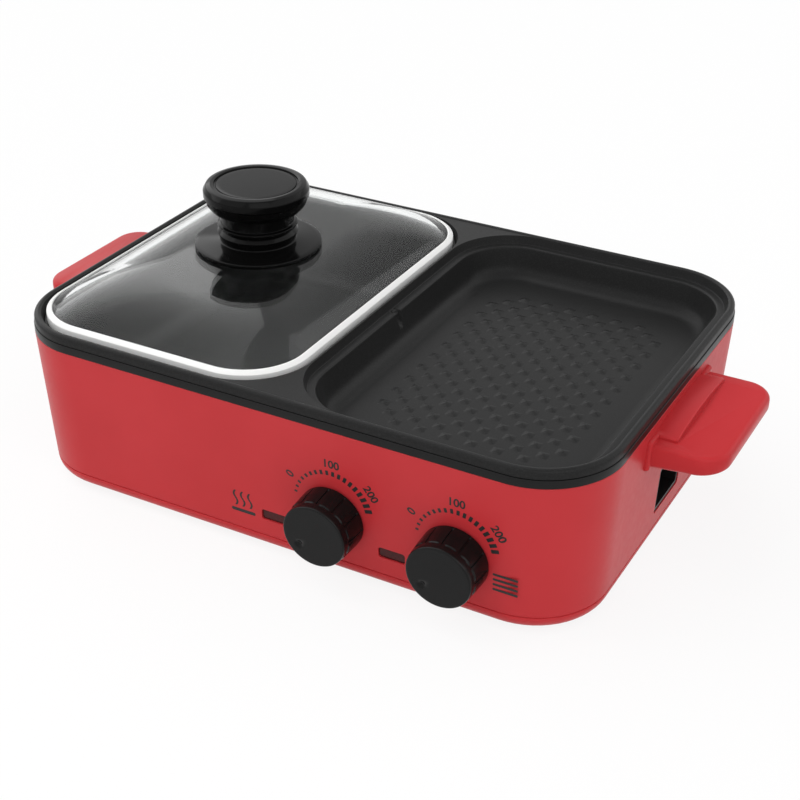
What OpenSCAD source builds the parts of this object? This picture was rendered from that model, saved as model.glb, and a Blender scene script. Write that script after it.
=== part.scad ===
// Countertop electric cooker with a lidded hot-pot well and a studded grill well.
// Millimetres. X runs right along the front, Y to the back, Z up from the table.
// The origin is on the table, under the middle of the whole part.

/* [Body] */
// Length of the black rim along the front
rim_length = 340; // [325:1:355]
// Depth of the black rim from front to back
rim_depth = 241.4; // [232:0.2:252]
// Outer corner radius of the black rim
rim_radius = 43; // [40:0.5:46]
// Height of the red wall from its base edge up to the rim
wall_height = 85.8; // [82:0.2:95]
// How far each wall leans in from the rim down to the base edge
draft_inset = 4.2; // [3:0.1:6]
// Corner radius of the wall at its base edge
base_radius = 40.4; // [38:0.2:42]
// Thickness of the red wall
wall_thickness = 2.6; // [2.2:0.1:3]
// Height of the base cover's own red rim, up to the parting groove
base_rim_height = 8.2; // [7:0.1:9]
// Rounding of the base cover's lower edge
base_rounding = 8; // [5:0.1:8]
// Width of the parting groove above the base cover
parting_groove = 0.5; // [0.4:0.1:0.8]
// Thickness of the base cover's floor
base_floor = 2.4; // [2:0.1:3]
// Height of the rubber feet below the base edge
foot_height = 3; // [2:0.5:5]
// Radius of a rubber foot
foot_radius = 9; // [7:0.5:11]

/* [Cooking plate] */
// Height of the black skirt ring under the plate
skirt_height = 4.7; // [4:0.1:6]
// Height of the plate's land above the skirt ring
lip_height = 4.6; // [4:0.1:5.4]
// Radius of the rounded bead round the plate
bead_radius = 2.1; // [1.8:0.1:2.3]
// Distance from the rim's outline to the edge of a recess
bead_inset = 4.1; // [3.9:0.1:4.6]
// Half the width of the ridge between the two recesses
ridge_half = 0.45; // [0.4:0.05:0.8]
// Depth of the lid ledge below the land
ledge_depth = 4.7; // [4:0.1:6]
// How far the step leans in from the land to the ledge
step_inset = 1.7; // [1.2:0.1:2.2]
// Width of the lid ledge
ledge_width = 4.3; // [4:0.1:5]
// Rounding of the ledge's inner lip
lip_rounding = 1.6; // [1:0.1:2]
// Wall and floor thickness of the wells
plate_thickness = 3; // [2.5:0.1:3.5]
// Depth of the grill well below the land
grill_depth = 22.1; // [20:0.1:26]
// Bottom fillet of the grill well
grill_fillet = 6.8; // [5:0.1:8]
// Lean of the grill well's wall in degrees
grill_lean = 16; // [12:1:20]
// Depth of the hot-pot well below the land
pot_depth = 58; // [52:0.5:60]
// Bottom fillet of the hot-pot well
pot_fillet = 10; // [8:0.5:12]
// Lean of the hot-pot well's wall in degrees
pot_lean = 5; // [3:0.5:7]
// Distance between stud rows and between stud columns
stud_pitch = 7.1; // [6.8:0.1:7.3]
// Stud columns on each side of the well's middle
stud_columns = 7; // [5:1:7]
// Stud rows on each side of the well's middle
stud_rows = 11; // [9:1:11]
// Width of a pyramid stud at its base
stud_width = 5.4; // [4.5:0.1:6]
// Height of a pyramid stud
stud_height = 1.5; // [1:0.1:2]
// Width of the notch in the divider's ledge
notch_width = 4.6; // [3:0.1:6]

/* [Lid] */
// Distance from the recess edge to the lid's white rim
lid_inset = 3; // [2.6:0.1:3.6]
// Width of the lid's white rim
lid_rim_width = 3.3; // [3:0.1:3.8]
// Height of the lid's white rim above the land
lid_rim_rise = 2.6; // [2:0.1:3.4]
// Gap between the lid and the ledge it sits on
lid_seat_gap = 0.3; // [0.3:0.05:0.5]
// Thickness of the lid's glass
glass_thickness = 4; // [3:0.1:4.5]
// Height of the glass top above the land
dome_rise = 16.5; // [14:0.1:19]
// Half the width of the lid's flat top
dome_flat_half = 31.4; // [28:0.1:36]
// Half the straight run at each end of the lid's flat top
dome_flat_straight = 1.4; // [0.5:0.1:6]

/* [Lid knob] */
// Radius of the flange under the lid knob
flange_radius = 35.7; // [33:0.1:38]
// Thickness of the flange at its edge
flange_edge = 2.2; // [1.8:0.1:3]
// Radius of the knob's head
head_radius = 29.3; // [27:0.1:32]
// Height of the knob's head
head_height = 12.2; // [10:0.1:14]
// Radius of the hub on the flange
hub_radius = 21; // [19:0.1:23]
// Height of the whole lid knob above the glass
lid_knob_height = 35.2; // [33:0.1:38]

/* [Control knobs] */
// Distance between the two control knobs
knob_spacing = 68.9; // [64:0.1:74]
// Distance from the rim's right end to the grill knob's axis
knob_end_distance = 67.1; // [66:0.1:72]
// Height of the knob axes above the base edge
knob_height = 34.5; // [32:0.1:37]
// Radius of a control knob at the panel
knob_radius = 18.4; // [17.5:0.1:20]
// Radius of a control knob at its face
knob_face_radius = 17.7; // [16.5:0.1:18.5]
// Reach of a control knob from the panel to its face
knob_reach = 18.8; // [17.5:0.1:21]
// Gap between a control knob and the panel
knob_gap = 0.8; // [0.5:0.1:1.2]
// Number of shallow flutes round a control knob
flute_count = 12; // [10:1:16]
// Depth of a flute
flute_depth = 0.6; // [0.4:0.1:0.9]
// Radius of a control shaft
shaft_radius = 3; // [2.8:0.1:3.2]
// Radial running clearance of a control shaft in its bushing
shaft_clearance = 0.05; // [0.03:0.01:0.08]
// Width of an indicator window
window_width = 15.1; // [13:0.1:17]
// Height of an indicator window
window_height = 6.3; // [5.5:0.1:7]
// How far each window lies left of its knob
window_offset = 35.4; // [34:0.1:38]
// Height of the windows above the base edge
window_rise = 21.9; // [21:0.1:23]

/* [Handles and inlet] */
// Half the width of a handle
handle_half_width = 43.4; // [40:0.1:46]
// Reach of a handle past the rim
handle_reach = 36.1; // [33:0.1:40]
// Height of the handle's top above the base edge
handle_top = 76.5; // [74:0.1:78]
// Thickness of the handle at its tip
handle_tip_thickness = 9.6; // [8.5:0.1:11]
// Thickness of the handle at its root
handle_root_thickness = 14; // [12:0.1:15]
// Corner radius of the handle's tip
handle_corner = 14.5; // [12:0.5:17]
// Width of the power inlet opening
inlet_width = 35.4; // [33:0.1:37]
// Height of the power inlet opening
inlet_height = 28; // [26:0.1:30]
// Place of the inlet's middle behind the middle of the side wall
inlet_y = 3.2; // [0:0.2:8]
// Height of the inlet's lower edge above the base edge
inlet_bottom = 18; // [16:0.1:19]

/* [Hidden] */
$fn = 48;
corner_fn = 64;
// Thin slices, overlaps inside one piece, gaps between fixed pieces, and cuts past a face
slice = 0.01;
overlap = 0.2;
fit_gap = 0.25;
cut = 1;
through = 10;

// Heights
z_base = foot_height;
z_rim = z_base + wall_height;
z_lip = z_rim + skirt_height;
z_land = z_lip + lip_height;
z_ledge = z_land - ledge_depth;
z_floor = z_base + base_floor;
z_parting = z_base + base_rim_height;
z_grill = z_land - grill_depth;
z_pot = z_land - pot_depth;

// Leaning walls
draft = atan(draft_inset / wall_height);
function lean(z) = draft_inset * (1 - (z - z_base) / wall_height);
function half_x(z) = rim_length / 2 - lean(z);
function half_y(z) = rim_depth / 2 - lean(z);
function corner_at(z) = base_radius + (rim_radius - base_radius) * (z - z_base) / wall_height;

// Base cover: the ring that stands up inside the wall, and the places of the feet
edge_rounding = min(base_rounding, base_rim_height - slice);
spigot_low = z_base + edge_rounding / 2;
spigot_height = 4;
spigot_wall = 1.8;
spigot_inset = wall_thickness + fit_gap;
foot_inset = [40, 34];

// Wells: the same outline mirrored about the ridge
well_half_x = (rim_length / 2 - bead_inset - ridge_half) / 2;
well_half_y = rim_depth / 2 - bead_inset;
well_radius = rim_radius - bead_inset;
well_x = ridge_half + well_half_x;

// Sections of the wells, measured out from the recess edge and up from the land
ledge_end = step_inset + ledge_width;
lip_centre = [lip_rounding - ledge_end, -ledge_depth - lip_rounding];
function normal_in(a) = [-cos(a), sin(a)];
function down_wall(a) = [-sin(a), -cos(a)];
function lip_tangent(a) = lip_centre + lip_rounding * normal_in(a);
function wall_run(depth, fillet, a) =
    (lip_tangent(a)[1] + fillet * sin(a) + depth - fillet) / cos(a);
function fillet_centre(depth, fillet, a) =
    lip_tangent(a) + wall_run(depth, fillet, a) * down_wall(a) + fillet * normal_in(a);
function arc(centre, radius, from, to, steps) =
    [for (i = [0:steps]) centre + radius * [cos(from + (to - from) * i / steps),
                                            sin(from + (to - from) * i / steps)]];
function outer_wall_u(a, v) =
    (lip_tangent(a) - plate_thickness * normal_in(a))[0]
    + (v - (lip_tangent(a) - plate_thickness * normal_in(a))[1]) * tan(a);
ledge_under = -ledge_depth - plate_thickness;
function well_section(depth, fillet, a) = concat(
    [[0, 0], [-step_inset, -ledge_depth]],
    arc(lip_centre, lip_rounding, 90, 180 - a, 4),
    arc(fillet_centre(depth, fillet, a), fillet, -a, -90, 6),
    arc(fillet_centre(depth, fillet, a), fillet + plate_thickness, -90, -a, 6),
    [[outer_wall_u(a, ledge_under), ledge_under], [ridge_half, ledge_under], [ridge_half, 0]]);
grill_floor_u = fillet_centre(grill_depth, grill_fillet, grill_lean)[0];
pot_floor_u = fillet_centre(pot_depth, pot_fillet, pot_lean)[0];
bead_side = 0.4;
bead_crown = 0.6;
stud_tip = 0.4;
notch_depth = 8.5;
pot_under = z_pot - plate_thickness;
grill_under = z_grill - plate_thickness;

// Lid
lid_outer = -lid_inset;
lid_inner = lid_outer - lid_rim_width;
lid_bottom = -ledge_depth + lid_seat_gap;
slot_depth = lid_rim_width / 2;
glass_edge = lid_outer - lid_rim_width + slot_depth;
glass_drop = 0.8;
glass_low = lid_rim_rise - glass_thickness - glass_drop;
dome_shoulder = well_half_x + lid_inner - dome_flat_half;
dome_end = lid_inner - dome_shoulder;
dome_corner = well_radius + lid_inner;
dome_flat_radius = dome_flat_half - dome_flat_straight;
dome_height = dome_rise - glass_low - glass_thickness;
dome_radius = (pow(dome_shoulder, 2) + pow(dome_height, 2)) / (2 * dome_height);
dome_angle = asin(dome_shoulder / dome_radius);
dome_steps = 8;
dome_corner_steps = 8;
lid_screw_radius = 2.5;
lid_screw_reach = 20;
washer_thickness = 1.2;
screw_head_depth = 4;
hub_height = 8.2;
waist_radius = 17;
ring_radius = 22.4;
ring_low = 12.4;
neck_radius = 20.7;
cap_radius = 23.2;
cap_depth = 1.2;
knob_base_z = z_land + dome_rise;

// Control knobs
z_knob = z_base + knob_height;
z_window = z_base + window_rise;
grill_knob_x = rim_length / 2 - knob_end_distance;
pot_knob_x = grill_knob_x - knob_spacing;
knob_band = 4.2;
knob_chamfer = 0.8;
knob_wall = 2.6;
boss_radius = 5.6;
dimple_radius = 2.6;
dimple_place = 12;
dimple_angle = 222;
shaft_out = knob_reach - 6;
shaft_in = 15;
bushing_radius = 5;
bushing_out = 3.4;
nut_thickness = 2.8;
nut_width = 14;
housing_size = [28, 24, 20];
housing_front = wall_thickness + 1.2;
tag_length = 8;
tag_width = 5;
tag_thickness = 0.8;
lens_flange = 1.8;
lens_gap = 0.15;
lens_sink = 0.9;
lens_border = 2;
window_corner = 1.5;
lamp_depth = 7;

// Handles
handle_tip_x = rim_length / 2 + handle_reach;
handle_root_x = rim_length / 2 - 3 * handle_corner;
z_handle = z_base + handle_top;
pad_reach = 11.6;
pad_half_width = 35.7;
pad_rise = 4.4;
pad_crown = 2.6;
root_flange = 2.4;
root_half_width = handle_half_width + 2.2;
handle_screw_y = 27;
handle_screw_radius = 2;
handle_screw_length = 12;
z_handle_screw = z_handle - handle_root_thickness / 2;

// Power inlet
z_inlet = z_base + inlet_bottom + inlet_height / 2;
inlet_depth = 24;
inlet_wall = 2.4;
inlet_flange = 3;
inlet_plate = 2;
inlet_sink = 0.5;
inlet_corner = 1.5;
pin_radius = 2;
pin_spacing = 12;
pin_length = 14;
pin_drop = 4;
pin_tail = 6;

// Ties between the plate, the heat shields and the base cover
tie_radius = 2;
tie_boss = 5;
tie_head = 4;
tie_y = well_half_y * 0.45;
tie_grip = 10;
tie_head_height = 1.2;
shield_thickness = 0.8;
pot_shield_rise = 12;
grill_shield_drop = 18;
shield_margin = [22, 26];
pot_shield_z = z_floor + pot_shield_rise;
grill_shield_z = grill_under - grill_shield_drop;
shield_half_x = well_half_x - shield_margin[0];
shield_half_y = well_half_y - shield_margin[1];

// Heating elements
tube_radius = 3.5;
tube_gap = 0.3;
element_margin = [34, 40];
element_half_x = well_half_x - element_margin[0];
element_half_y = well_half_y - element_margin[1];
element_radius = 18;
element_tail = 15;
element_mouth = 22;
clamp_width = 10;
clamp_block = 5;
clamp_lip = 1.6;
clamp_place = 0.62;
limiter_radius = 8;
limiter_height = 7;
limiter_ear = 6;
limiter_plate = 1;

// Terminal block and wiring
block_size = [20, 40, 14];
block_gap = 6;
block_x = half_x(z_base) - inlet_depth - block_gap - block_size[0];
terminal_radius = 2.5;
terminal_z = z_floor + 4;
wire_radius = 1.3;

// Frame: the part is moved so that its box is centred over the origin
front_reach = half_y(z_knob) + knob_reach * cos(draft) + (knob_face_radius - knob_chamfer) * sin(draft);
frame_shift = (front_reach - rim_depth / 2) / 2;

red = [0.74, 0.22, 0.24];
black = [0.12, 0.12, 0.12];
dark = [0.17, 0.17, 0.17];
steel = [0.75, 0.76, 0.77];
white = [0.93, 0.93, 0.92];
glass = [0.75, 0.8, 0.8, 0.35];
cream = [0.87, 0.83, 0.74];
brass = [0.78, 0.62, 0.3];

// Shared shapes

module rounded_plan(hx, hy, r) {
    square([2 * hx, 2 * (hy - r)], center = true);
    square([2 * (hx - r), 2 * hy], center = true);
    for (sx = [-1, 1], sy = [-1, 1])
        translate([sx * (hx - r), sy * (hy - r)])
            circle(r = r, $fn = corner_fn);
}

module rounded_block(hx, hy, r, z0, z1) {
    translate([0, 0, z0])
        linear_extrude(height = z1 - z0)
            rounded_plan(hx, hy, r);
}

// A section drawn as (outward, up) is carried round a rounded rectangle
module sweep_round(hx, hy, r) {
    for (sx = [0, 1], sy = [0, 1])
        mirror([sx, 0, 0])
            mirror([0, sy, 0])
                translate([hx - r, hy - r, 0])
                    rotate_extrude(angle = 90, $fn = corner_fn)
                        translate([r, 0])
                            children();
    for (sx = [0, 1])
        mirror([sx, 0, 0])
            translate([hx, hy - r, 0])
                rotate([90, 0, 0])
                    linear_extrude(height = 2 * (hy - r))
                        children();
    for (sy = [0, 1])
        mirror([0, sy, 0])
            translate([r - hx, hy, 0])
                rotate([90, 0, 90])
                    linear_extrude(height = 2 * (hx - r))
                        children();
}

module leaning_slice(z, inset) {
    translate([0, 0, z])
        linear_extrude(height = slice)
            rounded_plan(half_x(z) - inset, half_y(z) - inset, corner_at(z) - inset);
}

// The leaning outline of the red wall between two heights, moved in by an inset
module leaning_block(z0, z1, inset) {
    hull() {
        leaning_slice(z0, inset);
        leaning_slice(z1 - slice, inset);
    }
}

// A low block with a rounded lower edge, under the parting groove
module base_block(inset, z0, z1, rounding) {
    hx = half_x(z_parting) - inset;
    hy = half_y(z_parting) - inset;
    r = corner_at(z_parting) - inset;
    core = rounding + overlap;
    sweep_round(hx, hy, r)
        polygon(concat(
            [[0, z1]],
            arc([-rounding, z0 + rounding], rounding, 0, -90, 8),
            [[-core, z0], [-core, z1]]));
    rounded_block(hx - rounding, hy - rounding, r - rounding, z0, z1);
}

// Local frames on the walls: X along the wall, Y up the wall, Z straight out of it
module on_front(x, z) {
    translate([x, -half_y(z), z])
        rotate([90 + draft, 0, 0])
            children();
}

module on_right(y, z) {
    translate([half_x(z), y, z])
        rotate([90 + draft, 0, 90])
            children();
}

module on_left(y, z) {
    mirror([1, 0, 0])
        on_right(y, z)
            children();
}

module rod(radius, from, to) {
    translate([0, 0, from])
        cylinder(r = radius, h = to - from);
}

module bar_plan(width, height, r) {
    rounded_plan(width / 2, height / 2, r);
}

module place() {
    translate([0, frame_shift, 0])
        children();
}

module at_ties(side) {
    for (sy = [-1, 1])
        translate([side * well_x, sy * tie_y, 0])
            children();
}

// Body

module body_shell() {
    color(red)
        place()
            difference() {
                leaning_block(z_parting + parting_groove, z_rim, 0);
                leaning_block(z_base, z_rim + cut, wall_thickness);
                for (x = [pot_knob_x, grill_knob_x]) {
                    on_front(x, z_knob)
                        rod(bushing_radius + fit_gap, -through, through);
                    on_front(x - window_offset, z_window)
                        translate([0, 0, -through])
                            linear_extrude(height = 2 * through)
                                bar_plan(window_width, window_height, window_corner);
                }
                on_right(inlet_y, z_inlet)
                    translate([0, 0, -through])
                        linear_extrude(height = 2 * through)
                            bar_plan(inlet_width, inlet_height, inlet_corner);
                handle_screw_places()
                    rod(handle_screw_radius + fit_gap, -through, cut);
            }
}

module base_cover() {
    color(red)
        place() {
            difference() {
                union() {
                    difference() {
                        base_block(0, z_base, z_parting, edge_rounding);
                        base_block(wall_thickness, z_floor, z_parting + cut, edge_rounding - wall_thickness);
                    }
                    difference() {
                        leaning_block(spigot_low, z_parting + spigot_height, spigot_inset);
                        leaning_block(z_base, z_parting + spigot_height + cut, spigot_inset + spigot_wall);
                    }
                    at_ties(-1)
                        rod(tie_boss, z_floor - overlap, pot_shield_z);
                    at_ties(1)
                        rod(tie_boss, z_floor - overlap, grill_shield_z);
                }
                for (side = [-1, 1])
                    at_ties(side) {
                        rod(tie_radius + fit_gap, z_base - cut, grill_shield_z + cut);
                        rod(tie_head + fit_gap, z_base - cut, z_base + tie_head_height);
                    }
                foot_places()
                    rod(foot_radius / 2, z_base - cut, z_floor + cut);
                on_right(inlet_y, z_inlet)
                    translate([0, 0, -inlet_depth])
                        linear_extrude(height = inlet_depth - wall_thickness)
                            bar_plan(inlet_width + 2 * (inlet_flange + cut),
                                     inlet_height + 2 * inlet_flange, inlet_corner);
            }
        }
}

module foot_places() {
    for (sx = [-1, 1], sy = [-1, 1])
        translate([sx * (half_x(z_base) - foot_inset[0]), sy * (half_y(z_base) - foot_inset[1]), 0])
            children();
}

module feet() {
    color(dark)
        place()
            foot_places() {
                rod(foot_radius, 0, z_base);
                rod(foot_radius / 2, z_base - overlap, z_floor);
            }
}

module rim_skirt() {
    color(black)
        place()
            sweep_round(rim_length / 2, rim_depth / 2, rim_radius)
                translate([-(bead_inset - ridge_half - fit_gap), z_rim])
                    square([bead_inset - ridge_half - fit_gap, skirt_height]);
}

// Cooking plate

module well(side, depth, fillet, a, floor_u) {
    translate([side * well_x, 0, z_land]) {
        sweep_round(well_half_x, well_half_y, well_radius)
            polygon(well_section(depth, fillet, a));
        rounded_block(well_half_x + floor_u + overlap, well_half_y + floor_u + overlap,
                      well_radius + floor_u + overlap, -depth - plate_thickness, -depth);
    }
}

module land() {
    hole = ridge_half / 2;
    difference() {
        rounded_block(rim_length / 2 - bead_radius, rim_depth / 2 - bead_radius,
                      rim_radius - bead_radius, z_lip, z_land);
        for (side = [-1, 1])
            translate([side * well_x, 0, 0])
                rounded_block(well_half_x + hole, well_half_y + hole, well_radius + hole,
                              z_lip - cut, z_land + cut);
    }
}

module bead() {
    sweep_round(rim_length / 2, rim_depth / 2, rim_radius)
        translate([-bead_radius - bead_side, z_land - bead_radius + bead_crown])
            circle(r = bead_radius);
    sweep_round(rim_length / 2, rim_depth / 2, rim_radius)
        translate([-bead_inset, z_lip])
            square([bead_inset - bead_side, lip_height - bead_radius + bead_crown]);
}

// Studs lie in a chequered field whose corners are cut off
module studs() {
    for (col = [-stud_columns:stud_columns], row = [-stud_rows:stud_rows])
        if ((col + row) % 2 == 0 && abs(col) + abs(row) <= stud_columns + stud_rows - 2)
            translate([well_x + col * stud_pitch, row * stud_pitch, z_grill - overlap])
                rotate([0, 0, 45])
                    cylinder(d1 = stud_width * sqrt(2), d2 = stud_tip, h = stud_height + overlap, $fn = 4);
}

// The notch runs down from the ledge on the grill side of the divider
module divider_notch() {
    translate([ridge_half + ledge_end, 0, z_ledge])
        rotate([0, -grill_lean, 0])
            cylinder(d = notch_width, h = 2 * notch_depth, center = true);
}

module cooking_plate() {
    color(black)
        place()
            difference() {
                union() {
                    land();
                    bead();
                    well(-1, pot_depth, pot_fillet, pot_lean, pot_floor_u);
                    well(1, grill_depth, grill_fillet, grill_lean, grill_floor_u);
                    studs();
                    at_ties(-1)
                        rod(tie_boss, pot_shield_z + shield_thickness, pot_under + overlap);
                    at_ties(1)
                        rod(tie_boss, grill_shield_z + shield_thickness, grill_under + overlap);
                }
                at_ties(-1)
                    rod(tie_radius, 0, pot_shield_z + shield_thickness + tie_grip);
                at_ties(1)
                    rod(tie_radius, 0, grill_shield_z + shield_thickness + tie_grip);
                intersection() {
                    divider_notch();
                    rounded_block(rim_length / 2, rim_depth / 2, rim_radius, z_grill, z_ledge + overlap);
                }
            }
}

// Handles

module handle_screw_places() {
    for (y = [-handle_screw_y, handle_screw_y]) {
        on_right(y, z_handle_screw)
            children();
        on_left(y, z_handle_screw)
            children();
    }
}

module handle_plan() {
    span = handle_tip_x - handle_root_x;
    translate([handle_root_x, -handle_half_width])
        square([span - handle_corner, 2 * handle_half_width]);
    translate([handle_root_x, handle_corner - handle_half_width])
        square([span, 2 * (handle_half_width - handle_corner)]);
    for (sy = [-1, 1])
        translate([handle_tip_x - handle_corner, sy * (handle_half_width - handle_corner)])
            circle(r = handle_corner);
}

module handle_pad() {
    crown_radius = (pow(pad_half_width, 2) + pow(pad_crown, 2)) / (2 * pad_crown);
    intersection() {
        translate([handle_root_x, -pad_half_width, z_handle - cut])
            cube([rim_length / 2 + pad_reach - handle_root_x, 2 * pad_half_width, pad_rise + cut]);
        translate([handle_root_x, 0, z_handle + pad_rise - crown_radius])
            rotate([0, 90, 0])
                cylinder(r = crown_radius, h = handle_tip_x - handle_root_x, $fn = 180);
    }
}

module handle_shape() {
    slope = atan((handle_root_thickness - handle_tip_thickness) / handle_reach);
    difference() {
        union() {
            translate([0, 0, z_handle - handle_root_thickness])
                linear_extrude(height = handle_root_thickness)
                    handle_plan();
            handle_pad();
            on_right(0, z_handle - handle_root_thickness / 2)
                translate([-root_half_width, -handle_root_thickness / 2 - cut, -cut])
                    cube([2 * root_half_width, handle_root_thickness + pad_rise, root_flange + cut]);
        }
        translate([rim_length / 2, -handle_half_width - cut, z_handle - handle_root_thickness])
            rotate([0, -slope, 0])
                translate([0, 0, -handle_root_thickness])
                    cube([2 * handle_reach, 2 * (handle_half_width + cut), handle_root_thickness]);
        on_right(0, z_handle)
            translate([-2 * handle_half_width, -wall_height, -wall_height])
                cube([4 * handle_half_width, 2 * wall_height, wall_height]);
        for (y = [-handle_screw_y, handle_screw_y])
            on_right(y, z_handle_screw)
                rod(handle_screw_radius, -cut, handle_screw_length);
    }
}

module handle_right() {
    color(red)
        place()
            handle_shape();
}

module handle_left() {
    color(red)
        place()
            mirror([1, 0, 0])
                handle_shape();
}

module handle_screws() {
    color(steel)
        place()
            handle_screw_places() {
                rod(handle_screw_radius, -wall_thickness - overlap, handle_screw_length);
                rod(2 * handle_screw_radius, -wall_thickness - handle_screw_radius, -wall_thickness);
            }
}

// Lid

module on_lid() {
    translate([-well_x, 0, z_land])
        children();
}

module lid_section() {
    rim_round = lid_rim_width / 2;
    difference() {
        union() {
            translate([lid_inner, lid_bottom])
                square([lid_rim_width, lid_rim_rise - rim_round - lid_bottom]);
            translate([lid_inner + rim_round, lid_rim_rise - rim_round])
                circle(r = rim_round);
        }
        translate([lid_inner - cut, glass_low])
            square([slot_depth + cut, glass_thickness]);
    }
}

module lid_rim() {
    color(white)
        place()
            on_lid()
                sweep_round(well_half_x, well_half_y, well_radius)
                    lid_section();
}

// The glass from the inner edge of its flat top, down and round its edge, to the outer edge of the flat top
function glass_section() =
    let (centre = [dome_end, dome_rise - dome_radius], low = 90 - dome_angle)
    concat(
        arc(centre, dome_radius - glass_thickness, 90, low, dome_steps),
        [[lid_inner - overlap, glass_low], [glass_edge, glass_low], [glass_edge, glass_low + glass_thickness]],
        arc(centre, dome_radius, low, 90, dome_steps));

// Rings of the dome: the corner radius eases from the rim's to the flat top's
function dome_ring_radius(u) =
    u > lid_inner ? well_radius + u
    : dome_corner + (dome_flat_radius - dome_corner) * (lid_inner - u) / dome_shoulder;
function dome_ring(u, z) =
    let (hx = well_half_x + u, hy = well_half_y + u, r = dome_ring_radius(u))
    [for (quarter = [0:3], i = [0:dome_corner_steps])
        let (a = 90 * (quarter + i / dome_corner_steps),
             sx = quarter == 0 || quarter == 3 ? 1 : -1,
             sy = quarter < 2 ? 1 : -1)
        [sx * (hx - r) + r * cos(a), sy * (hy - r) + r * sin(a), z]];

module dome() {
    rings = [for (s = glass_section()) dome_ring(s[0], s[1])];
    count = len(rings[0]);
    last = len(rings) - 1;
    polyhedron(
        points = [for (ring = rings, p = ring) p],
        faces = concat(
            [for (i = [0:last - 1], j = [0:count - 1]) let (k = (j + 1) % count)
                [i * count + j, (i + 1) * count + k, i * count + k]],
            [for (i = [0:last - 1], j = [0:count - 1]) let (k = (j + 1) % count)
                [i * count + j, (i + 1) * count + j, (i + 1) * count + k]],
            [[for (j = [0:count - 1]) j]],
            [[for (j = [count - 1:-1:0]) last * count + j]]));
}

module lid_glass() {
    color(glass)
        place()
            on_lid()
                difference() {
                    dome();
                    rod(lid_screw_radius + fit_gap, 0, dome_rise + cut);
                }
}

module on_lid_knob() {
    translate([-well_x, 0, knob_base_z])
        children();
}

module lid_knob_flange() {
    color(black)
        place()
            on_lid_knob()
                rotate_extrude()
                    polygon([
                        [lid_screw_radius + fit_gap, 0],
                        [flange_radius - 0.6, 0],
                        [flange_radius, 0.6],
                        [flange_radius, flange_edge],
                        [hub_radius + 2, flange_edge + 2],
                        [hub_radius, hub_height - 1.5],
                        [hub_radius - 1, hub_height],
                        [lid_screw_radius + fit_gap, hub_height]]);
}

module lid_knob() {
    head_low = lid_knob_height - head_height;
    color(black)
        place()
            on_lid_knob()
                rotate_extrude()
                    polygon([
                        [lid_screw_radius, hub_height],
                        [waist_radius, hub_height],
                        [waist_radius, hub_height + 1.4],
                        [ring_radius, ring_low],
                        [ring_radius, ring_low + 1.4],
                        [neck_radius, ring_low + 2],
                        [neck_radius, head_low - 0.4],
                        [head_radius - 3.4, head_low],
                        [head_radius - 0.6, head_low + 3],
                        [head_radius, head_low + 5.5],
                        [head_radius - 0.4, lid_knob_height - 2],
                        [head_radius - 2, lid_knob_height - 0.3],
                        [head_radius - 4, lid_knob_height],
                        [cap_radius, lid_knob_height],
                        [cap_radius - 0.6, lid_knob_height - cap_depth],
                        [0, lid_knob_height - cap_depth],
                        [0, lid_screw_reach],
                        [lid_screw_radius, lid_screw_reach]]);
}

module lid_knob_screw() {
    color(steel)
        place()
            on_lid_knob() {
                rod(lid_screw_radius, -glass_thickness - washer_thickness, lid_screw_reach);
                rod(3 * lid_screw_radius, -glass_thickness - washer_thickness, -glass_thickness);
                rod(2 * lid_screw_radius, -glass_thickness - screw_head_depth, -glass_thickness);
            }
}

// Control knobs

module shaft_plan(gap) {
    intersection() {
        circle(r = shaft_radius + gap);
        translate([-2 * shaft_radius, -2 * shaft_radius])
            square([4 * shaft_radius, 2.75 * shaft_radius + gap]);
    }
}

module control_knob(x) {
    flute_radius = 8;
    color(black)
        place()
            on_front(x, z_knob)
                difference() {
                    union() {
                        difference() {
                            rotate_extrude($fn = 96)
                                polygon([
                                    [0, knob_gap],
                                    [knob_radius, knob_gap],
                                    [knob_face_radius, knob_reach - knob_chamfer],
                                    [knob_face_radius - knob_chamfer, knob_reach],
                                    [0, knob_reach]]);
                            rod(knob_radius - knob_wall, 0, knob_reach - knob_band);
                        }
                        rod(boss_radius, bushing_out + knob_gap, knob_reach - knob_wall);
                    }
                    for (i = [0:flute_count - 1])
                        rotate([0, 0, 360 * i / flute_count])
                            translate([knob_radius + flute_radius - flute_depth, 0, 0])
                                rod(flute_radius, 0, knob_reach - knob_band);
                    linear_extrude(height = shaft_out)
                        shaft_plan(shaft_clearance);
                    rotate([0, 0, dimple_angle])
                        translate([dimple_place, 0, knob_reach + dimple_radius * 0.7])
                            sphere(r = dimple_radius);
                }
}

module control_shaft(x) {
    color(steel)
        place()
            on_front(x, z_knob) {
                rod(shaft_radius, -shaft_in, bushing_out + knob_gap);
                translate([0, 0, bushing_out + knob_gap - overlap])
                    linear_extrude(height = shaft_out - bushing_out - knob_gap)
                        shaft_plan(0);
            }
}

module thermostat(x) {
    tag = [tag_width, tag_thickness, tag_length];
    back = -housing_front - housing_size[2];
    color(cream)
        place()
            on_front(x, z_knob)
                difference() {
                    union() {
                        translate([-housing_size[0] / 2, -housing_size[1] / 2, back])
                            cube(housing_size);
                        rod(bushing_radius, -housing_front - overlap, bushing_out);
                        rod(1.6 * bushing_radius, -housing_front - overlap, -wall_thickness);
                        for (sx = [-1, 1])
                            translate([sx * housing_size[0] / 4 - tag[0] / 2, -tag[1] / 2, back - tag[2] + overlap])
                                cube(tag);
                    }
                    rod(shaft_radius + shaft_clearance, -shaft_in - fit_gap, bushing_out + cut);
                }
}

module thermostat_nuts() {
    color(steel)
        place()
            for (x = [pot_knob_x, grill_knob_x])
                on_front(x, z_knob)
                    difference() {
                        cylinder(d = nut_width / cos(30), h = nut_thickness, $fn = 6);
                        rod(bushing_radius, -cut, nut_thickness + cut);
                    }
}

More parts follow.
